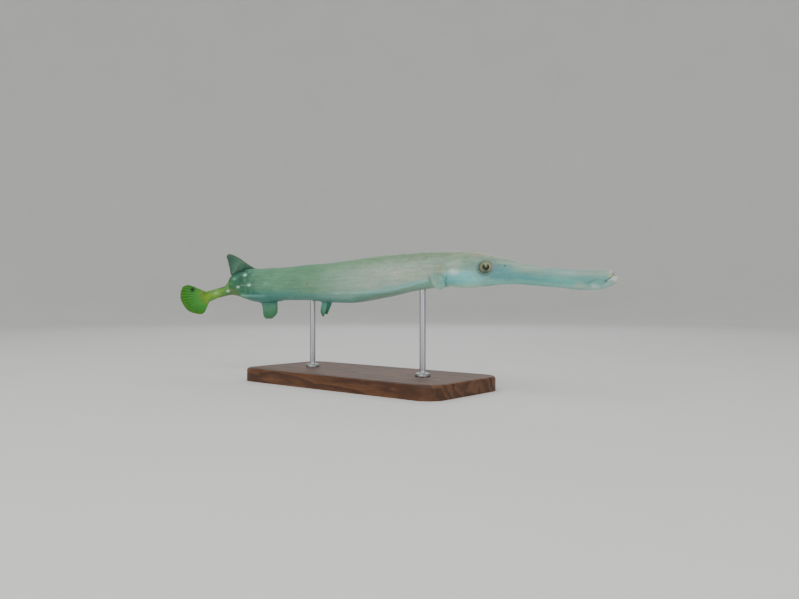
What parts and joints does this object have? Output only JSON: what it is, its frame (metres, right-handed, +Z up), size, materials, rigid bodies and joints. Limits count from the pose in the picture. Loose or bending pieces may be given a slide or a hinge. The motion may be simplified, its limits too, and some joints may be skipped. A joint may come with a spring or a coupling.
{
  "type": "trumpetfish display model",
  "caption": "Life-size trumpetfish in a swimming pose with its tail turned to one side, held over a flat wooden base by short steel rods.",
  "frame": {"origin": "centre of the underside of the stand's base", "axes": "+X towards the snout, +Y towards the fish's left side, +Z up"},
  "size_m": [0.5389, 0.112, 0.1424],
  "materials": {
    "snout_skin": "satin, moist skin",
    "head_skin": "satin, moist skin",
    "trunk_skin": "satin, finely scaled skin",
    "tail_skin": "satin, finely scaled skin",
    "fin_skin": "satin, thin membrane over raised rays",
    "caudal_skin": "satin, thin membrane over raised rays",
    "eye": "gloss",
    "stand_base": "satin lacquer",
    "stand_rod": "satin"
  },
  "bodies": {
    "root": {"snout": "snout_skin", "lower_jaw": "snout_skin", "head": "head_skin", "gill_cover_left": "head_skin", "gill_cover_right": "head_skin", "eye_left": "eye", "eye_right": "eye", "trunk_front": "trunk_skin", "trunk_rear": "trunk_skin", "tail": "tail_skin", "dorsal_fin": "fin_skin", "anal_fin": "fin_skin", "caudal_fin": "caudal_skin", "pectoral_fin_left": "fin_skin", "pectoral_fin_right": "fin_skin", "pelvic_fin_left": "fin_skin", "pelvic_fin_right": "fin_skin", "stand_base": "stand_base", "stand_rod_front": "stand_rod", "stand_rod_rear": "stand_rod"}
  },
  "joints": []
}
